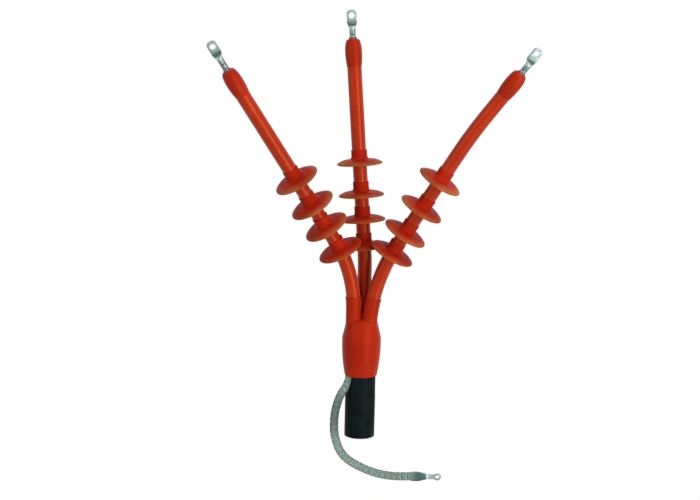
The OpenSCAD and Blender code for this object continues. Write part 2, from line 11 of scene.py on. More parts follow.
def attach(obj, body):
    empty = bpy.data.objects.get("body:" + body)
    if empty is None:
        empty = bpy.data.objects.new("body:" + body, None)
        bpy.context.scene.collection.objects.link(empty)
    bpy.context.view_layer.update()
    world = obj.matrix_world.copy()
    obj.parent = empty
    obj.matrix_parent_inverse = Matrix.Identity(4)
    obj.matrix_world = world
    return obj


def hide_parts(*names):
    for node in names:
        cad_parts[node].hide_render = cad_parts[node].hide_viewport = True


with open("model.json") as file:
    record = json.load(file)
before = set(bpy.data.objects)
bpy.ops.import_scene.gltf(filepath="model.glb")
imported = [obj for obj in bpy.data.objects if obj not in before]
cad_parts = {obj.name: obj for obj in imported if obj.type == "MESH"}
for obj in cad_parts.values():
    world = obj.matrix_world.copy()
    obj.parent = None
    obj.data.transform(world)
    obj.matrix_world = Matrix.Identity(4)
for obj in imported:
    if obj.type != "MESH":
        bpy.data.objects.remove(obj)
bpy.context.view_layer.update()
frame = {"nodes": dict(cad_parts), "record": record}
scene = bpy.context.scene
scene.view_settings.view_transform = "Standard"

# Sizes of the part are in millimetres, and its meshes are in metres

MM = 0.001
WELD = 1e-6
SMOOTH_ANGLE = 40
BODY_STEPS = 96
SHED_STEPS = 72
SLEEVE_STEPS = 64
TUBE_SIDES = 48


# Camera, in metres: in front of the part, looking a little down, and turned a little anticlockwise

AIM = Vector((0, 0, 0.4))
CAMERA_DISTANCE = 3.7
CAMERA_RISE = math.radians(11)
CAMERA_ROLL = math.radians(1.3)
CAMERA_SIDE = -0.0301
CAMERA_UP = 0.0334
LENS = 84.2
SENSOR = 36


def place_camera():
    ahead = Vector((0, math.cos(CAMERA_RISE), -math.sin(CAMERA_RISE)))
    level = Vector((1, 0, 0))
    upright = level.cross(ahead)
    right = level * math.cos(CAMERA_ROLL) + upright * math.sin(CAMERA_ROLL)
    up = upright * math.cos(CAMERA_ROLL) - level * math.sin(CAMERA_ROLL)
    data = bpy.data.cameras.new("camera")
    data.lens = LENS
    data.sensor_width = SENSOR
    camera = bpy.data.objects.new("camera", data)
    place = AIM - ahead * CAMERA_DISTANCE + right * CAMERA_SIDE + up * CAMERA_UP
    turn = Matrix((right, up, -ahead)).transposed().to_4x4()
    camera.matrix_world = Matrix.Translation(place) @ turn
    scene.collection.objects.link(camera)
    scene.camera = camera


place_camera()


# Shader expressions

NOISE_LOW = 0.3
NOISE_HIGH = 0.7


class Value:
    """A socket in a material's tree; operators on it add Math nodes."""

    def __init__(self, finish, socket):
        self.finish = finish
        self.socket = socket

    def _math(self, operation, first, second):
        return self.finish.node("Math", {"operation": operation}, {0: first, 1: second})

    def __add__(self, other):
        return self._math("ADD", self, other)

    def __radd__(self, other):
        return self._math("ADD", other, self)

    def __sub__(self, other):
        return self._math("SUBTRACT", self, other)

    def __rsub__(self, other):
        return self._math("SUBTRACT", other, self)

    def __mul__(self, other):
        return self._math("MULTIPLY", self, other)


class Finish:
    """One material: a Principled shader and the nodes that feed it."""

    def __init__(self, name, **constants):
        self.material = bpy.data.materials.new(name)
        self.material.use_nodes = True
        self.tree = self.material.node_tree
        self.shader = self.tree.nodes["Principled BSDF"]
        for socket, value in constants.items():
            self.shader.inputs[socket.replace("_", " ")].default_value = value

    def put(self, socket, value):
        if isinstance(value, Value):
            self.tree.links.new(value.socket, socket)
        else:
            socket.default_value = value

    def node(self, kind, settings=None, inputs=None, out=0):
        made = self.tree.nodes.new("ShaderNode" + kind)
        for key, value in (settings or {}).items():
            setattr(made, key, value)
        for key, value in (inputs or {}).items():
            self.put(made.inputs[key], value)
        return Value(self, made.outputs[out])

    def noise(self, scale, detail):
        place = self.node("TexCoord", out="Object")
        return self.node("TexNoise", inputs={"Vector": place, "Scale": scale, "Detail": detail})

    def spread(self, value, low, high, to_low=0.0, to_high=1.0):
        inputs = {0: value, 1: low, 2: high, 3: to_low, 4: to_high}
        return self.node("MapRange", inputs=inputs)

    def patches(self, noise, to_low=0.0, to_high=1.0):
        """Spreads the part of its range where a noise mostly lies."""
        return self.spread(noise, NOISE_LOW, NOISE_HIGH, to_low, to_high)

    def mix(self, share, first, second):
        inputs = {0: share, 6: first, 7: second}
        return self.node("Mix", {"data_type": "RGBA"}, inputs, out=2)

    def attribute(self, name):
        return self.node("Attribute", {"attribute_name": name}, out="Fac")

    def colour(self, value):
        self.put(self.shader.inputs["Base Color"], value)

    def roughness(self, value):
        self.put(self.shader.inputs["Roughness"], value)

    def bump(self, height, distance, strength):
        inputs = {"Height": height, "Distance": distance, "Strength": strength}
        self.put(self.shader.inputs["Normal"], self.node("Bump", inputs=inputs))


def rgb(red, green, blue):
    return (red, green, blue, 1.0)


# Mesh helpers


def add_object(name, bm, finish, smooth_angle=SMOOTH_ANGLE):
    mesh = bpy.data.meshes.new(name)
    bmesh.ops.remove_doubles(bm, verts=bm.verts, dist=WELD)
    bmesh.ops.recalc_face_normals(bm, faces=bm.faces)
    for face in bm.faces:
        face.smooth = True
    bm.to_mesh(mesh)
    bm.free()
    mesh.set_sharp_from_angle(angle=math.radians(smooth_angle))
    piece = bpy.data.objects.new(name, mesh)
    piece.data.materials.append(finish.material)
    scene.collection.objects.link(piece)
    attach(piece, "root")
    return piece


def mesh_with_modifiers(piece):
    bpy.context.view_layer.update()
    return bpy.data.meshes.new_from_object(piece.evaluated_get(bpy.context.evaluated_depsgraph_get()))


def keep_result(piece):
    """Makes what a piece's modifiers give its own mesh, with sharp edges marked."""
    made = mesh_with_modifiers(piece)
    piece.modifiers.clear()
    old = piece.data
    piece.data = made
    made.name = piece.name
    bpy.data.meshes.remove(old)
    made.set_sharp_from_angle(angle=math.radians(SMOOTH_ANGLE))


def thicken(piece, thickness):
    """Gives a skin a wall on its inner side."""
    wall = piece.modifiers.new("wall", "SOLIDIFY")
    wall.thickness = thickness * MM
    wall.offset = -1
    keep_result(piece)


def cut_away(piece, bm):
    """Cuts the shape in a bmesh out of a piece, and frees that bmesh."""
    mesh = bpy.data.meshes.new("cutter")
    bm.to_mesh(mesh)
    bm.free()
    cutter = bpy.data.objects.new("cutter", mesh)
    scene.collection.objects.link(cutter)
    cut = piece.modifiers.new("cut", "BOOLEAN")
    cut.object = cutter
    cut.solver = "EXACT"
    keep_result(piece)
    bpy.data.objects.remove(cutter)


def drilled(piece, radius, place, axis):
    """Cuts a round hole through a piece; place is in metres."""
    drill_length = 50 * MM
    bm = bmesh.new()
    turn = Vector((0, 0, 1)).rotation_difference(axis).to_matrix().to_4x4()
    bmesh.ops.create_cone(
        bm, cap_ends=True, segments=48, radius1=radius * MM, radius2=radius * MM, depth=drill_length,
        matrix=Matrix.Translation(place) @ turn,
    )
    cut_away(piece, bm)


def turned(profile, steps):
    """A bmesh turned about Z from (radius, height) points in millimetres."""
    bm = bmesh.new()
    verts = [bm.verts.new((r * MM, 0, z * MM)) for r, z in profile]
    edges = [bm.edges.new(pair) for pair in zip(verts, verts[1:])]
    bmesh.ops.spin(
        bm, geom=verts + edges, cent=(0, 0, 0), axis=(0, 0, 1),
        angle=2 * math.pi, steps=steps, use_merge=True,
    )
    bmesh.ops.remove_doubles(bm, verts=bm.verts, dist=WELD)
    return bm


def arc(cx, cz, radius, start, end, steps):
    """Points of an arc in a half section; angles in degrees from the radius axis."""
    points = []
    for i in range(steps + 1):
        a = math.radians(start + (end - start) * i / steps)
        points.append((cx + radius * math.cos(a), cz + radius * math.sin(a)))
    return points


def superellipse(half_a, half_b, power, segments):
    """Points round a section: a power of 2 gives an ellipse, and more makes it squarer."""
    points = []
    for i in range(segments):
        angle = 2 * math.pi * i / segments
        c, s = math.cos(angle), math.sin(angle)
        a = half_a * math.copysign(abs(c) ** (2 / power), c)
        b = half_b * math.copysign(abs(s) ** (2 / power), s)
        points.append((a, b))
    return points


def extruded(bm, edges):
    """Extrudes a ring of edges, and gives the new ring's verts and edges."""
    made = bmesh.ops.extrude_edge_only(bm, edges=edges)["geom"]
    verts = [g for g in made if isinstance(g, bmesh.types.BMVert)]
    ring = set(verts)
    new_edges = [
        g for g in made
        if isinstance(g, bmesh.types.BMEdge) and g.verts[0] in ring and g.verts[1] in ring
    ]
    return verts, new_edges


def lofted(rings):
    """A closed bmesh through rings of points, by extruding the first ring."""
    bm = bmesh.new()
    verts = [bm.verts.new(p) for p in rings[0]]
    first = [bm.edges.new((verts[i], verts[(i + 1) % len(verts)])) for i in range(len(verts))]
    edges = first
    for ring in rings[1:]:
        new_verts, edges = extruded(bm, edges)
        for vert, place in zip(new_verts, ring):
            vert.co = place
    bmesh.ops.holes_fill(bm, edges=first + edges, sides=len(verts))
    return bm


def steps_between(start, end, step):
    count = max(1, round((end - start) / step))
    return [start + (end - start) * i / count for i in range(count + 1)]


# Routes of the legs: [0, length] is straight, [radius, angle, turn] is a bend

CORE_R = 11.8
CORE_GAP = 0.5
COVER_T = 5.2
SHEATH_T = 3.6
ABRADED = 0.4
TUBE_R = 16.1
FINGER_R = 17.6
FINGER_GAP = 0.6
CORE_PITCH = (2 * CORE_R + CORE_GAP) / math.sqrt(3)
COVER_R = CORE_PITCH + CORE_R + COVER_T
SHEATH_R = COVER_R + SHEATH_T
SEALED_R = SHEATH_R - ABRADED
FINGER_PITCH = (2 * FINGER_R + FINGER_GAP) / math.sqrt(3)
SPREAD_Z = 197
SPREAD_ANGLE = 20
SPREAD_R = (FINGER_PITCH - CORE_PITCH) / 2 / (1 - math.cos(math.radians(SPREAD_ANGLE)))
SPREAD_TOP = SPREAD_Z + 2 * SPREAD_R * math.sin(math.radians(SPREAD_ANGLE))


def new_leg(azimuth, bend_z, bends, tip, sleeve_top, sheds, palm_turn=0):
    """A leg spreads off the cable's axis, rises to bend_z and runs through its bends to its tip."""
    route = [
        [0, SPREAD_Z],
        [SPREAD_R, SPREAD_ANGLE, azimuth],
        [SPREAD_R, SPREAD_ANGLE, azimuth + 180],
        [0, bend_z - SPREAD_TOP],
        *bends,
        [0, tip],
    ]
    return {
        "azimuth": azimuth, "route": route, "tip": tip,
        "sleeve_top": sleeve_top, "sheds": sheds, "palm_turn": palm_turn,
    }


LEGS = {
    "left": new_leg(
        azimuth=200, bend_z=295, bends=[[288, 34.6, 208]],
        tip=1010, sleeve_top=936, sheds=[444, 510, 572, 642],
    ),
    "middle": new_leg(
        azimuth=80, bend_z=385, bends=[[600, 4.7, 162]],
        tip=971, sleeve_top=906, sheds=[438, 499.5, 556, 628],
    ),
    "right": new_leg(
        azimuth=320, bend_z=240, bends=[[398, 32, 341], [0, 252], [1200, 5.5, 341]],
        tip=1008, sleeve_top=942, sheds=[442, 498, 566, 641.5], palm_turn=8,
    ),
}


def go_along(stretch, distance):
    if stretch[0] == 0:
        return Matrix.Translation((0, 0, distance * MM))
    radius, _, turn = stretch
    angle = distance / radius
    heading = Matrix.Rotation(math.radians(turn), 4, "Z")
    out = Matrix.Translation((radius * MM, 0, 0))
    return heading @ out @ Matrix.Rotation(angle, 4, "Y") @ out.inverted() @ heading.inverted()


def at(leg, station):
    """Frame of a leg at a station in millimetres along it: Z runs along the leg."""
    azimuth = math.radians(leg["azimuth"])
    foot = Vector((math.cos(azimuth), math.sin(azimuth), 0)) * CORE_PITCH * MM
    place = Matrix.Translation(foot)
    left = station
    for stretch in leg["route"]:
        length = stretch[1] if stretch[0] == 0 else stretch[0] * math.radians(stretch[1])
        if left <= length:
            return place @ go_along(stretch, left)
        place = place @ go_along(stretch, length)
        left -= length
    return place


def swept(leg, stations, radii, capped=True):
    """A round skin drawn along a leg through rings at the given stations."""
    bm = bmesh.new()
    place = at(leg, stations[0])
    bmesh.ops.create_circle(bm, segments=TUBE_SIDES, radius=radii[0] * MM, matrix=place)
    first = list(bm.edges)
    edges = first
    for i in range(1, len(stations)):
        verts, edges = extruded(bm, edges)
        ahead = at(leg, stations[i])
        grow = Matrix.Scale(radii[i] / radii[i - 1], 4)
        bmesh.ops.transform(bm, matrix=ahead @ grow @ place.inverted(), verts=verts)
        place = ahead
    if capped:
        bmesh.ops.holes_fill(bm, edges=first + edges, sides=TUBE_SIDES)
    return bm


# Finishes


def red_finish(name, roughness, depth, gloss):
    """Red polymer: depth scales its colour, and gloss is the level of its reflections."""
    finish = Finish(name, Specular_IOR_Level=gloss, Specular_Tint=rgb(1, 0.5, 0.18))
    cloud = finish.noise(scale=14, detail=3)
    deep = rgb(0.37 * depth, 0.013 * depth, 0.003)
    bright = rgb(0.46 * depth, 0.021 * depth, 0.0042)
    finish.colour(finish.mix(finish.patches(cloud), deep, bright))
    fine = finish.noise(scale=260, detail=2)
    finish.roughness(finish.patches(fine, roughness - 0.06, roughness + 0.08))
    waves = finish.noise(scale=70, detail=2)
    finish.bump(waves * 0.9 + fine * 0.1, distance=0.0006, strength=0.35)
    return finish


def shed_finish():
    """Red polymer with a painted pale glow towards a shed's rim, standing in for light shining through its
    thin edge.
    """
    finish = Finish("shed_red", Specular_IOR_Level=0.05, Specular_Tint=rgb(1, 0.55, 0.25))
    rim = finish.attribute("rim")
    cloud = finish.noise(scale=18, detail=3)
    patches = finish.patches(cloud)
    body = finish.mix(patches, rgb(0.37, 0.013, 0.0042), rgb(0.47, 0.021, 0.0062))
    # Painted light: the pale colour the rim takes on, for light shining through the thin rubber
    tan = finish.mix(patches, rgb(0.3, 0.06, 0.016), rgb(0.46, 0.15, 0.05))
    share = finish.spread(rim + (cloud - 0.5) * 0.4, 0.5, 1.0)
    finish.colour(finish.mix(share, body, tan))
    fine = finish.noise(scale=240, detail=2)
    finish.roughness(finish.patches(fine, 0.36, 0.5))
    waves = finish.noise(scale=60, detail=2)
    finish.bump(waves * 0.8 + fine * 0.2, distance=0.0006, strength=0.5)
    return finish


def metal_finish(name, dark, bright, roughness, shade=None, mottle=0.55):
    """Metal: shade names an attribute that darkens it, as painted shade, and mottle is how much its
    patches show.
    """
    finish = Finish(name, Metallic=1.0)
    cloud = finish.noise(scale=220, detail=4)
    share = finish.patches(cloud)
    if shade:
        share = (1 - mottle + share * mottle) * (1 - finish.attribute(shade))
    finish.colour(finish.mix(share, rgb(*dark), rgb(*bright)))
    fine = finish.noise(scale=700, detail=3)
    finish.roughness(finish.patches(fine, roughness - 0.07, roughness + 0.1))
    finish.bump(fine * 0.5 + cloud * 0.5, distance=0.0003, strength=0.4)
    return finish


def plain_finish(name, dark, bright, roughness, scale=60, specular=0.5, metallic=0.0):
    """A finish of two near colours in patches of one scale."""
    finish = Finish(name, Specular_IOR_Level=specular, Metallic=metallic)
    cloud = finish.noise(scale, detail=3)
    finish.colour(finish.mix(finish.patches(cloud), rgb(*dark), rgb(*bright)))
    fine = finish.noise(scale * 8, detail=2)
    finish.roughness(finish.patches(fine, roughness - 0.06, roughness + 0.06))
    finish.bump(fine, distance=0.0003, strength=0.4)
    return finish


RED = red_finish("tube_red", roughness=0.32, depth=0.96, gloss=0.45)
SLEEVE_RED = red_finish("sleeve_red", roughness=0.42, depth=0.9, gloss=0.25)
BOOT_RED = red_finish("boot_red", roughness=0.42, depth=0.93, gloss=0.17)
SHED_RED = shed_finish()
SHEATH_BLACK = plain_finish(
    "sheath_black", (0.0015, 0.0045, 0.0045), (0.005, 0.012, 0.012),
    roughness=0.5, scale=45, specular=0.04,
)
TINNED = metal_finish(
    "tinned_copper", (0.05, 0.1, 0.092), (0.5, 0.6, 0.57), roughness=0.42, shade="shade",
)
BRAID_WIRE = metal_finish(
    "braid_wire", (0.05, 0.085, 0.072), (0.3, 0.4, 0.35), roughness=0.42, shade="shade", mottle=0.12,
)
# A dark band under the wires: painted shade for the inside of the braid that shows between them
BRAID_SHADED_INSIDE = plain_finish(
    "braid_shaded_inside", (0.08, 0.115, 0.1), (0.13, 0.17, 0.15),
    roughness=0.6, scale=300, specular=0.2, metallic=0.6,
)
MASTIC = plain_finish(
    "red_mastic", (0.2, 0.012, 0.006), (0.3, 0.02, 0.008), roughness=0.5, scale=80,
)
FILLER = plain_finish(
    "cable_filler", (0.03, 0.031, 0.032), (0.06, 0.062, 0.064), roughness=0.7, scale=200, specular=0.3,
)
COPPER = metal_finish("bare_copper", (0.45, 0.17, 0.08), (0.7, 0.3, 0.15), roughness=0.35)
INSULATION = plain_finish(
    "core_insulation", (0.68, 0.64, 0.54), (0.78, 0.75, 0.66), roughness=0.4, scale=50,
)
SCREEN = plain_finish(
    "black_screen", (0.012, 0.012, 0.013), (0.02, 0.02, 0.022), roughness=0.6, scale=120, specular=0.3,
)
SPRING = metal_finish("spring_steel", (0.4, 0.42, 0.43), (0.6, 0.62, 0.64), roughness=0.3)

SLOT_FINISH = {
    "red_polymer": RED, "black_sheath": SHEATH_BLACK, "filler": FILLER, "mastic": MASTIC,
    "insulation": INSULATION, "semiconductor": SCREEN, "copper": COPPER, "tinned": TINNED,
    "braid": BRAID_WIRE, "steel": SPRING,
}
for entry in frame["record"]["subparts"]:
    node = frame["nodes"][entry["node"]]
    node.data.materials.clear()
    node.data.materials.append(SLOT_FINISH[entry["material_slot"]].material)


# Earth braid: a flat band along the route, painted dark for the shaded inside of the braid, and woven
# bundles of wire over it

BRAID_W = 19
BRAID_T = 3.2
BRAID_FACE = 219
BRAID_EXIT = Vector((
    (SEALED_R + BRAID_T / 2) * math.cos(math.radians(BRAID_FACE)),
    (SEALED_R + BRAID_T / 2) * math.sin(math.radians(BRAID_FACE)),
    146,
))
BRAID_WAY = [
    (0, 0, 0), (-1.5, -0.8, -11), (-6, -1.6, -25), (-12.5, -2.6, -36), (-18.5, -3.6, -48),
    (-23.5, -4.6, -62), (-27.5, -5.6, -78), (-30, -6.6, -96), (-30.5, -7.6, -114), (-29.5, -8.6, -132),
    (-25.5, -9.6, -150), (-19.5, -10.6, -167), (-10.5, -11.6, -182), (1.5, -11.6, -194),
    (16.5, -11.6, -204), (33.5, -11.6, -213), (51.5, -11.6, -220.5), (70.5, -11.6, -226.5),
    (90.5, -11.6, -230.5), (111.5, -11.6, -232.5), (132.5, -11.6, -232.5), (148, -11.6, -232),
    (157, -11.6, -232), (166, -11.6, -232),
]
BRAID_ROUTE = [BRAID_EXIT + Vector(p) for p in BRAID_WAY]

# Over its first points the braid turns from the sheath's face to the front

FRONT_FACE = 270
TURN_POINTS = 7
FINE_STEPS = 12


def braid_frames(step):
    """Evenly spaced (point, across, through, distance) along the braid, in metres."""
    points = [Vector(p) * MM for p in BRAID_ROUTE]
    fine = []
    for i in range(len(points) - 1):
        before = points[max(i - 1, 0)]
        after = points[min(i + 2, len(points) - 1)]
        a, b = points[i], points[i + 1]
        for k in range(FINE_STEPS):
            t = k / FINE_STEPS
            place = 0.5 * (
                2 * a + (b - before) * t + (2 * before - 5 * a + 4 * b - after) * t * t
                + (3 * a - before - 3 * b + after) * t ** 3
            )
            fine.append((place, i + t))
    fine.append((points[-1], len(points) - 1.0))
    lengths = [0.0]
    for (p, _), (q, _) in zip(fine, fine[1:]):
        lengths.append(lengths[-1] + (q - p).length)
    count = round(lengths[-1] / step)
    frames = []
    k = 0
    for n in range(count + 1):
        wanted = lengths[-1] * n / count
        while k < len(fine) - 2 and lengths[k + 1] < wanted:
            k += 1
        t = (wanted - lengths[k]) / (lengths[k + 1] - lengths[k])
        place = fine[k][0].lerp(fine[k + 1][0], t)
        ahead = (fine[k + 1][0] - fine[k][0]).normalized()
        index = fine[k][1] + t * (fine[k + 1][1] - fine[k][1])
        face = math.radians(BRAID_FACE + (FRONT_FACE - BRAID_FACE) * min(index / TURN_POINTS, 1))
        out = Vector((math.cos(face), math.sin(face), 0))
        across = ahead.cross(out).normalized()
        frames.append((place, across, across.cross(ahead), wanted))
    return frames


def stadium(u, width, thickness):
    """Point, outward normal and tangent on a flat rounded section, u from 0 to 1 round it."""
    flat = width - thickness
    radius = thickness / 2
    total = 2 * flat + 2 * math.pi * radius
    s = (u % 1.0) * total
    if s < flat:
        return Vector((s - flat / 2, radius)), Vector((0, 1)), Vector((1, 0))
    s -= flat
    if s < math.pi * radius:
        a = math.pi / 2 - s / radius
        normal = Vector((math.cos(a), math.sin(a)))
        return Vector((flat / 2, 0)) + normal * radius, normal, Vector((normal.y, -normal.x))
    s -= math.pi * radius
    if s < flat:
        return Vector((flat / 2 - s, -radius)), Vector((0, -1)), Vector((-1, 0))
    s -= flat
    a = -math.pi / 2 - s / radius
    normal = Vector((math.cos(a), math.sin(a)))
    return Vector((-flat / 2, 0)) + normal * radius, normal, Vector((normal.y, -normal.x))


BUNDLES = 8
WIRES = 5
WIRE_SIDES = 5
WIRE_W = 0.86
WIRE_T = 0.62
WIRE_STEP = 1.25
LAY_LENGTH = 104
LANE_W = BRAID_W - 2.6
LANE_T = BRAID_T - 2.0
LANE_LIFT = 0.4
WEAVE_RISE = 0.3
RIDGE_PITCH = 6.4
RIDGE_RISE = 0.15
FOLD_START = 130
FOLD_REACH = 120
# The braid's upright stretch is painted darker, as shade: where it lies and how far it reaches
SHADED_STRETCH_AT = 92
SHADED_STRETCH_REACH = 50
BAND_W = BRAID_W - 2.7
BAND_SIDES = 16
BAND_STRIDE = 3


def wire_shade(run, x, wave, ridge, folded):
    """Painted shade on a wire: less on its crests, as a painted highlight, and more where it dives under,
    at the braid's edges, in the folds' valleys and along its upright stretch.
    """
    shaded_stretch = math.exp(-(((run - SHADED_STRETCH_AT) / SHADED_STRETCH_REACH) ** 4))
    edge = abs(x) * 2 / BRAID_W
    contrast = (0.16 - 0.1 * shaded_stretch) * (1 - 0.7 * edge * edge) * (1 - 0.5 * folded)
    return min(0.36 - contrast * wave - 0.1 * ridge + 0.36 * shaded_stretch + 0.25 * edge ** 4, 1)


def braid_wire(frames, start, hand, side):
    """One wire of a bundle: it runs round the flat section, over and under the other hand's bundles."""
    rings = []
    shades = []
    for place, across, through, distance in frames:
        run = distance / MM
        u = start + hand * run / LAY_LENGTH
        wave = hand * math.cos(2 * math.pi * run * BUNDLES / LAY_LENGTH)
        point, normal, tangent = stadium(u, LANE_W, LANE_T)
        folded = min(max((run - FOLD_START) / FOLD_REACH, 0), 1)
        ridge = math.cos(2 * math.pi * point.x / RIDGE_PITCH) * folded
        lift = LANE_LIFT + WEAVE_RISE * wave + RIDGE_RISE * ridge
        middle = point + normal * lift + tangent * side * WIRE_W
        ring = []
        for k in range(WIRE_SIDES):
            a = 2 * math.pi * k / WIRE_SIDES
            flat = middle + tangent * math.cos(a) * WIRE_W / 2 + normal * math.sin(a) * WIRE_T / 2
            ring.append(place + across * flat.x * MM + through * flat.y * MM)
        rings.append(ring)
        # Painted light and shade for this ring of the wire
        shades.append(wire_shade(run, point.x, wave, ridge, folded))
    bm = lofted(rings)
    shade = bm.verts.layers.float.new("shade")
    for i, vert in enumerate(bm.verts):
        vert[shade] = shades[min(i // WIRE_SIDES, len(shades) - 1)]
    mesh = bpy.data.meshes.new("wire")
    bm.to_mesh(mesh)
    bm.free()
    return mesh


SOCKET = 18
LUG_START = BRAID_ROUTE[-1] - Vector((SOCKET, 0, 0))
EARTH_BARREL = 36
EARTH_NECK = 51
RING_X = 61
RING_R = 8.5
RING_BORE_R = 4.2
RING_ARC = 133
RING_STEPS = 12
EARTH_LUG_SIDES = 40


def earth_lug_shade(x):
    """Darkness of the ring lug: a dark barrel, a bright neck and a grey ring."""
    if x < EARTH_BARREL:
        return 0.55 + 0.4 * min(x / 14, 1)
    return 0.0 if x < EARTH_NECK else 0.45


def make_earth_lug():
    # Place along X, half height, half depth and squareness of each section
    sections = [
        (0, 10.0, 2.4, 4), (0.8, 10.7, 3.0, 5), (5, 11.1, 3.3, 5), (14, 11.1, 3.3, 5),
        (19, 10.7, 3.2, 4.5), (25, 9.4, 3.0, 4), (31, 7.7, 2.7, 4), (35, 6.6, 2.3, 4),
        (37, 6.2, 1.6, 5), (40, 6.0, 1.3, 6), (RING_X - 7, 6.0, 1.3, 6),
    ]
    for i in range(1, RING_STEPS + 1):
        a = math.radians(RING_ARC - RING_ARC * i / RING_STEPS)
        sections.append((RING_X + RING_R * math.cos(a), max(RING_R * math.sin(a), 0.4), 1.3, 6))
    rings = [
        [Vector((x, y, z)) * MM for z, y in superellipse(half_z, half_y, power, EARTH_LUG_SIDES)]
        for x, half_z, half_y, power in sections
    ]
    bm = lofted(rings)
    shade = bm.verts.layers.float.new("shade")
    for vert in bm.verts:
        vert[shade] = earth_lug_shade(vert.co.x / MM)
    bmesh.ops.translate(bm, vec=LUG_START * MM, verts=bm.verts)
    lug = add_object("ring_lug", bm, TINNED)
    drilled(lug, RING_BORE_R, (LUG_START + Vector((RING_X, 0, 0))) * MM, Vector((0, 1, 0)))
    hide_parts("earth_lug")
    return lug


def make_braid():
    frames = braid_frames(WIRE_STEP * MM)
    for hand, name in ((1, "woven_braid"), (-1, "woven_braid_crossing")):
        whole = bmesh.new()
        for k in range(BUNDLES):
            for i in range(WIRES):
                wire = braid_wire(frames, k / BUNDLES, hand, i - (WIRES - 1) / 2)
                whole.from_mesh(wire)
                bpy.data.meshes.remove(wire)
        add_object(name, whole, BRAID_WIRE, smooth_angle=80)
    rings = []
    for place, across, through, _ in frames[::BAND_STRIDE] + frames[-1:]:
        ring = []
        for i in range(BAND_SIDES):
            point, _, _ = stadium(i / BAND_SIDES, BAND_W, LANE_T)
            ring.append(place + across * point.x * MM + through * point.y * MM)
        rings.append(ring)
    band = add_object("braid_band", lofted(rings), BRAID_SHADED_INSIDE)
    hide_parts("earth_braid")
    make_earth_lug()


make_braid()


# Cable sheath: its upper end is abraded for the mastic

SHEATH_TOP = 170
ABRADED_Z = 100


def make_sheath():
    profile = [
        (COVER_R, 0), (SHEATH_R - 0.9, 0), (SHEATH_R - 0.25, 0.25), (SHEATH_R, 0.9),
        (SHEATH_R, ABRADED_Z - 0.4), (SEALED_R, ABRADED_Z + 0.2),
        (SEALED_R, SHEATH_TOP), (COVER_R, SHEATH_TOP),
    ]
    bm = turned(profile + profile[:1], BODY_STEPS)
    sheath = add_object("cable_sheath", bm, SHEATH_BLACK)
    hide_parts("outer_sheath")


make_sheath()


# Legs: tubes, sheds, sleeves and lugs

TUBE_START = 240
TUBE_WALL = 2.5
TUBE_STEP = 4
TUBE_UNDER_SLEEVE = 20


def tube_skin(leg, end, capped):
    stations = steps_between(TUBE_START, end, TUBE_STEP)
    return swept(leg, stations, [TUBE_R] * len(stations), capped)


def make_tube(name, leg):
    bm = tube_skin(leg, leg["sleeve_top"] - TUBE_UNDER_SLEEVE, capped=False)
    tube = add_object(name + "_tube", bm, RED)
    thicken(tube, TUBE_WALL)
    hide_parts(name + "_anti_tracking_tube")


SHED_R = 51.5
SHED_T = 3.8
SHED_DROP = 8
SHED_FILLET = 8
SHED_BORE_R = TUBE_R - 0.4
COLLAR_R = TUBE_R + 1.8
COLLAR_H = 22
COLLAR_FOOT = 2


def shed_profile():
    root = SHED_DROP + SHED_T / 2
    dome_x = COLLAR_R + SHED_FILLET
    reach = SHED_R - dome_x
    dome_r = (reach * reach + SHED_DROP * SHED_DROP) / (2 * SHED_DROP)
    slope = math.degrees(math.asin((reach - SHED_T / 2) / (dome_r - SHED_T / 2)))
    centre_z = root - dome_r
    under = arc(dome_x, centre_z, dome_r - SHED_T, 90, 90 - slope, 10)
    middle = dome_r - SHED_T / 2
    lean = math.radians(90 - slope)
    rim = arc(
        dome_x + middle * math.cos(lean), centre_z + middle * math.sin(lean),
        SHED_T / 2, 90 - slope - 180, 90 - slope, 8,
    )
    over = arc(dome_x, centre_z, dome_r, 90 - slope, 90, 10)
    fillet = arc(dome_x, root + SHED_FILLET, SHED_FILLET, 270, 180, 8)
    under_root = root - SHED_T
    foot = under_root - COLLAR_FOOT
    top = root + COLLAR_H
    return (
        [(SHED_BORE_R, foot), (COLLAR_R - 0.5, foot), (COLLAR_R, foot + 0.5), (COLLAR_R, under_root - 0.4)]
        + under + rim[1:-1] + over + fillet[1:]
        + [(COLLAR_R, top - 0.7), (COLLAR_R - 0.6, top), (SHED_BORE_R, top)]
    )


SHED_PROFILE = shed_profile()

# How strong the painted rim glow is, from the lowest shed of a leg up: lower sheds get less of it, as
# painted shade

RIM_GLOW_BY_SHED = (0.76, 0.84, 0.92, 1.0)


def make_shed(name, leg, i):
    bm = turned(SHED_PROFILE + SHED_PROFILE[:1], SHED_STEPS)
    # The rim attribute holds painted light: the share of the pale rim glow, which grows towards the rim
    rim = bm.verts.layers.float.new("rim")
    for vert in bm.verts:
        radius = vert.co.xy.length / MM
        vert[rim] = RIM_GLOW_BY_SHED[i] * min(max((radius - COLLAR_R) / (SHED_R - COLLAR_R), 0), 1)
    bmesh.ops.transform(bm, matrix=at(leg, leg["sheds"][i]), verts=bm.verts)
    shed = add_object(f"{name}_rain_shed_{i + 1}", bm, SHED_RED)
    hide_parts(f"{name}_shed_{i + 1}")


SLEEVE_LEN = 60
SLEEVE_PROFILE = [
    (15.8, 0), (16.4, 0), (16.75, 0.4), (17.4, 6), (18.1, 12), (18.7, 20), (19.0, 30), (18.8, 38),
    (18.3, 44.5), (17.4, 50), (16.2, 54.5), (14.9, 57.7), (13.6, 59.5), (12.8, SLEEVE_LEN),
    (11.8, SLEEVE_LEN), (11.2, 59),
]


def make_sleeve(name, leg):
    bm = turned(SLEEVE_PROFILE + SLEEVE_PROFILE[:1], SLEEVE_STEPS)
    bmesh.ops.transform(bm, matrix=at(leg, leg["sleeve_top"] - SLEEVE_LEN), verts=bm.verts)
    sleeve = add_object(name + "_sealing_sleeve", bm, SLEEVE_RED)
    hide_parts(name + "_lug_sleeve")


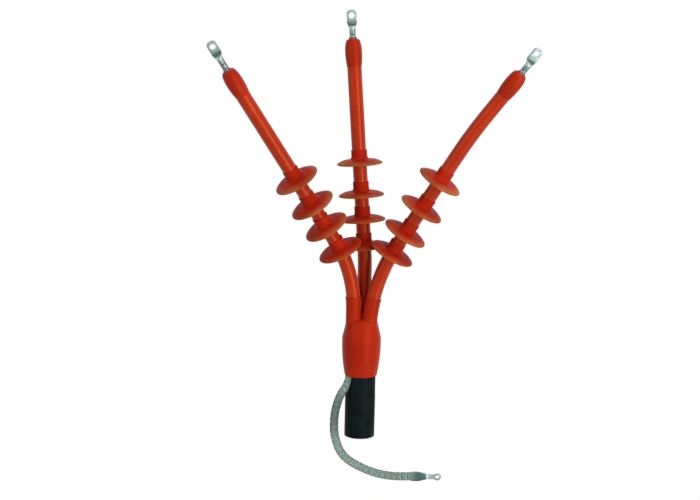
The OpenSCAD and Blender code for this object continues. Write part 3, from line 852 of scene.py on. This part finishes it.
LUG_LEN = 96
LUG_SIDES = 48
BARREL_LEN = 55
BARREL_R = 7
PALM_FOOT = 68
PALM_TOP = 88
PALM_HALF_W = 11
PALM_HALF_T = 2.2
PALM_CORNER = 8
PALM_SQUARENESS = 8
PALM_SET = BARREL_R - PALM_HALF_T
HOLE_DROP = 12.5
HOLE_R = 6.5
CRIMPS = (31, 42)
CRIMP_DEPTH = 0.55
LUG_STATIONS = (
    [0, 10, 20] + steps_between(24, PALM_FOOT, 1)
    + [76, 82, PALM_TOP, 90, 92, 93.5, 94.6, 95.4, 95.85, LUG_LEN]
)


def lug_section(s):
    """(half width, half depth, squareness, depth offset) of a lug at a distance from its foot."""
    if s <= BARREL_LEN:
        dent = sum(CRIMP_DEPTH * math.exp(-((s - c) / 2.2) ** 2) for c in CRIMPS)
        return BARREL_R - dent, BARREL_R - dent, 2 + 1.2 * dent, 0
    if s < PALM_FOOT:
        t = (s - BARREL_LEN) / (PALM_FOOT - BARREL_LEN)
        t = t * t * (3 - 2 * t)
        half_w = BARREL_R + (PALM_HALF_W - BARREL_R) * t
        return half_w, BARREL_R - PALM_SET * t, 2 + (PALM_SQUARENESS - 2) * t, PALM_SET * t
    half_w = PALM_HALF_W
    if s > PALM_TOP:
        half_w += math.sqrt(max(PALM_CORNER ** 2 - (s - PALM_TOP) ** 2, 0)) - PALM_CORNER
    return half_w, PALM_HALF_T, PALM_SQUARENESS, PALM_SET


def lug_shade(x, y, s):
    """Painted light and shade on a lug: a barrel painted darker with a painted highlight at its end,
    painted shade in the dents and the crease under the palm, and palm edges painted darker.
    """
    crease = math.exp(-(((s - 65) / 4.5) ** 4)) if y < 4 else 0
    # plain is painted light and shade: the barrel darker with a highlight near its end, the palm darker
    # towards its edges
    if s < 60:
        plain = 0.6 - 0.5 * math.exp(-((s - 56) / 3) ** 2)
    else:
        plain = 0.2 + 0.35 * (abs(x) / PALM_HALF_W) ** 6
    dents = sum(0.4 * math.exp(-((s - c) / 1.6) ** 2) for c in CRIMPS)
    return min(max(plain + dents, 0.95 * crease), 1)


def make_lug(name, leg):
    rings = []
    for s in LUG_STATIONS:
        half_x, half_y, power, off = lug_section(s)
        section = superellipse(half_x, half_y, power, LUG_SIDES)
        rings.append([Vector((x, y + off, s)) * MM for x, y in section])
    bm = lofted(rings)
    shade = bm.verts.layers.float.new("shade")
    for vert in bm.verts:
        vert[shade] = lug_shade(*(vert.co / MM))
    place = at(leg, leg["tip"] - LUG_LEN) @ Matrix.Rotation(math.radians(leg["palm_turn"]), 4, "Z")
    bmesh.ops.transform(bm, matrix=place, verts=bm.verts)
    lug = add_object(name + "_tubular_lug", bm, TINNED)
    hole = place @ (Vector((0, PALM_SET, LUG_LEN - HOLE_DROP)) * MM)
    drilled(lug, HOLE_R, hole, place.to_3x3() @ Vector((0, 1, 0)))
    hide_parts(name + "_lug")


for leg_name, leg in LEGS.items():
    make_tube(leg_name, leg)
    for i in range(len(leg["sheds"])):
        make_shed(leg_name, leg, i)
    make_sleeve(leg_name, leg)
    make_lug(leg_name, leg)


# Breakout boot: body, fingers and the bulge over the braid, melted into one skin

BOOT_BOTTOM = 145
BOOT_TOP = 277
BOOT_WALL = 2.2
BOOT_TRIM = 6
SEAL_T = 0.7
BELLY_R = SEALED_R + 10.2
BELLY_Z = 220
CONE_Z = 232
NECK_R = 35.5
NECK_ROUND = 9
NECK_LEAN = 14
FINGER_START = 256
FINGER_END = 330
FINGER_STEP = 3
LIP_RISE = 0.8
LIP_CUT = 1.5
BULGE_W = 24
BULGE_D = 20
BULGE_REACH = SEALED_R + 5.7
BULGE_TOP = 168
BULGE_ROUND = 7
VOXEL = 1.5
EASE_TIMES = 6
FILLING_Z = 244
FILLING_GAP = 0.6


def boot_outline(inset):
    """The belly's arc and the top's round in the boot's half section. A cone joins them."""
    rise = BELLY_Z - BOOT_BOTTOM
    sag = BELLY_R - (SEALED_R + SEAL_T + BOOT_WALL)
    arc_r = (rise * rise + sag * sag) / (2 * sag)
    start = math.degrees(math.asin((BOOT_BOTTOM - BOOT_TRIM - BELLY_Z) / arc_r))
    end = math.degrees(math.asin((CONE_Z - BELLY_Z) / arc_r))
    side = arc(BELLY_R - arc_r, BELLY_Z, arc_r - inset, start, end, 24)
    top = arc(NECK_R - NECK_ROUND, BOOT_TOP - NECK_ROUND, NECK_ROUND - inset, NECK_LEAN, 90, 10)
    return side, top


def add_fingers(bm):
    mesh = bpy.data.meshes.new("finger")
    for leg in LEGS.values():
        stations = steps_between(FINGER_START, FINGER_END - 4, FINGER_STEP)
        radii = [FINGER_R] * len(stations)
        stations += [FINGER_END - 3.4, FINGER_END - 1, FINGER_END]
        radii += [FINGER_R + LIP_RISE, FINGER_R + LIP_RISE, FINGER_R + 0.2]
        finger = swept(leg, stations, radii)
        finger.to_mesh(mesh)
        finger.free()
        bm.from_mesh(mesh)
    bpy.data.meshes.remove(mesh)


def add_bulge(bm):
    """The bulge in the boot's lower edge, where the braid comes out."""
    low = BOOT_BOTTOM - BOOT_TRIM
    bulge = bmesh.ops.create_cube(bm, size=1)["verts"]
    size = Vector((BULGE_W, BULGE_D, BULGE_TOP - low))
    middle = Vector((0, BULGE_REACH - BULGE_D / 2, (low + BULGE_TOP) / 2))
    bmesh.ops.scale(bm, vec=size * MM, verts=bulge)
    bmesh.ops.translate(bm, vec=middle * MM, verts=bulge)
    turn = Matrix.Rotation(math.radians(BRAID_FACE - 90), 4, "Z")
    bmesh.ops.transform(bm, matrix=turn, verts=bulge)
    edges = {edge for vert in bulge for edge in vert.link_edges}
    bmesh.ops.bevel(
        bm, geom=list(edges), offset=BULGE_ROUND * MM, affect="EDGES", segments=4,
        profile=0.5, material=-1, clamp_overlap=True,
    )


def melted(bm):
    """One smooth skin round all the shapes in a bmesh, which it frees."""
    mesh = bpy.data.meshes.new("boot_parts")
    bm.to_mesh(mesh)
    bm.free()
    rough = bpy.data.objects.new("boot_parts", mesh)
    scene.collection.objects.link(rough)
    melt = rough.modifiers.new("melt", "REMESH")
    melt.mode = "VOXEL"
    melt.voxel_size = VOXEL * MM
    ease = rough.modifiers.new("ease", "SMOOTH")
    ease.factor = 0.5
    ease.iterations = EASE_TIMES
    skin = mesh_with_modifiers(rough)
    bpy.data.objects.remove(rough)
    bm = bmesh.new()
    bm.from_mesh(skin)
    bpy.data.meshes.remove(skin)
    return bm


def open_ends(bm):
    """Cuts the boot's skin open at its lower edge and at the ends of its fingers."""
    ends = [(Vector((0, 0, BOOT_BOTTOM * MM)), Vector((0, 0, -1)))]
    for leg in LEGS.values():
        lip = at(leg, FINGER_END - LIP_CUT)
        ends.append((lip.translation, lip.to_3x3() @ Vector((0, 0, 1))))
    for place, outward in ends:
        bmesh.ops.bisect_plane(
            bm, geom=list(bm.verts) + list(bm.edges) + list(bm.faces), dist=WELD,
            plane_co=place, plane_no=outward, clear_outer=True,
        )


def make_boot():
    side, top = boot_outline(0)
    bm = turned([(0, side[0][1])] + side + top + [(0, top[-1][1])], BODY_STEPS)
    add_fingers(bm)
    add_bulge(bm)
    bmesh.ops.recalc_face_normals(bm, faces=bm.faces)
    skin = melted(bm)
    open_ends(skin)
    boot = add_object("boot_skin", skin, BOOT_RED)
    thicken(boot, BOOT_WALL)
    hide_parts("breakout_boot")


def make_filling():
    """The mastic in the crotch: it fills the boot's top round the three tubes."""
    side, top = boot_outline(BOOT_WALL + FILLING_GAP)
    (foot_r, foot_z), (neck_r, neck_z) = side[-1], top[0]
    low_r = foot_r + (neck_r - foot_r) * (FILLING_Z - foot_z) / (neck_z - foot_z)
    bm = turned([(0, FILLING_Z), (low_r, FILLING_Z)] + top + [(0, top[-1][1])], BODY_STEPS)
    filling = add_object("crotch_filling", bm, MASTIC)
    for leg in LEGS.values():
        tube = tube_skin(leg, FINGER_END, capped=True)
        bmesh.ops.recalc_face_normals(tube, faces=tube.faces)
        cut_away(filling, tube)
    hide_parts("crotch_mastic")


make_boot()
make_filling()


# Light, background and floor, in metres

SOFT_LIGHT = 0.3
FLOOR_Z = -1.2
FLOOR_HALF = 8


def white_when_seen(tree):
    """A socket that is 1 where the camera, a reflection or a see-through part looks, and else 0."""
    path = tree.nodes.new("ShaderNodeLightPath")
    seen = path.outputs["Is Camera Ray"]
    for ray in ("Is Glossy Ray", "Is Transmission Ray"):
        either = tree.nodes.new("ShaderNodeMath")
        either.operation = "MAXIMUM"
        tree.links.new(seen, either.inputs[0])
        tree.links.new(path.outputs[ray], either.inputs[1])
        seen = either.outputs[0]
    return seen


def mix_in_white(tree, plain, white, out):
    """Joins a plain shader and a white one, which takes over where it is seen."""
    mix = tree.nodes.new("ShaderNodeMixShader")
    tree.links.new(white_when_seen(tree), mix.inputs[0])
    tree.links.new(plain.outputs[0], mix.inputs[1])
    tree.links.new(white.outputs[0], mix.inputs[2])
    tree.links.new(mix.outputs[0], out.inputs[0])


def make_world():
    world = bpy.data.worlds.new("studio")
    scene.world = world
    world.use_nodes = True
    tree = world.node_tree
    tree.nodes.clear()
    soft = tree.nodes.new("ShaderNodeBackground")
    soft.inputs["Color"].default_value = rgb(1, 1, 1)
    soft.inputs["Strength"].default_value = SOFT_LIGHT
    white = tree.nodes.new("ShaderNodeBackground")
    white.inputs["Color"].default_value = rgb(1, 1, 1)
    white.inputs["Strength"].default_value = 1.0
    mix_in_white(tree, soft, white, tree.nodes.new("ShaderNodeOutputWorld"))


def make_floor():
    bm = bmesh.new()
    place = Matrix.Translation((0, 0, FLOOR_Z))
    bmesh.ops.create_grid(bm, x_segments=1, y_segments=1, size=FLOOR_HALF, matrix=place)
    mesh = bpy.data.meshes.new("floor")
    bm.to_mesh(mesh)
    bm.free()
    floor = bpy.data.objects.new("floor", mesh)
    scene.collection.objects.link(floor)
    finish = Finish("pale_floor", Base_Color=rgb(0.8, 0.8, 0.8), Roughness=0.9)
    glow = finish.tree.nodes.new("ShaderNodeEmission")
    glow.inputs["Strength"].default_value = 1.0
    mix_in_white(finish.tree, finish.shader, glow, finish.tree.nodes["Material Output"])
    floor.data.materials.append(finish.material)


def area_light(name, place, aim, size, power):
    data = bpy.data.lights.new(name, "AREA")
    data.shape = "RECTANGLE"
    data.size, data.size_y = size
    data.energy = power
    lamp = bpy.data.objects.new(name, data)
    lamp.location = place
    lamp.rotation_euler = (Vector(aim) - Vector(place)).to_track_quat("-Z", "Y").to_euler()
    scene.collection.objects.link(lamp)


make_world()
make_floor()
area_light("key", place=(1.7, -2.3, 0.3), aim=(0, 0, 0.45), size=(0.4, 3.2), power=60)
area_light("top", place=(0.6, -1.6, 3.0), aim=(0, 0, 0.5), size=(1.2, 1.2), power=30)
area_light("fill", place=(-2.4, -1.8, 1.0), aim=(0, 0, 0.5), size=(1.4, 1.4), power=14)
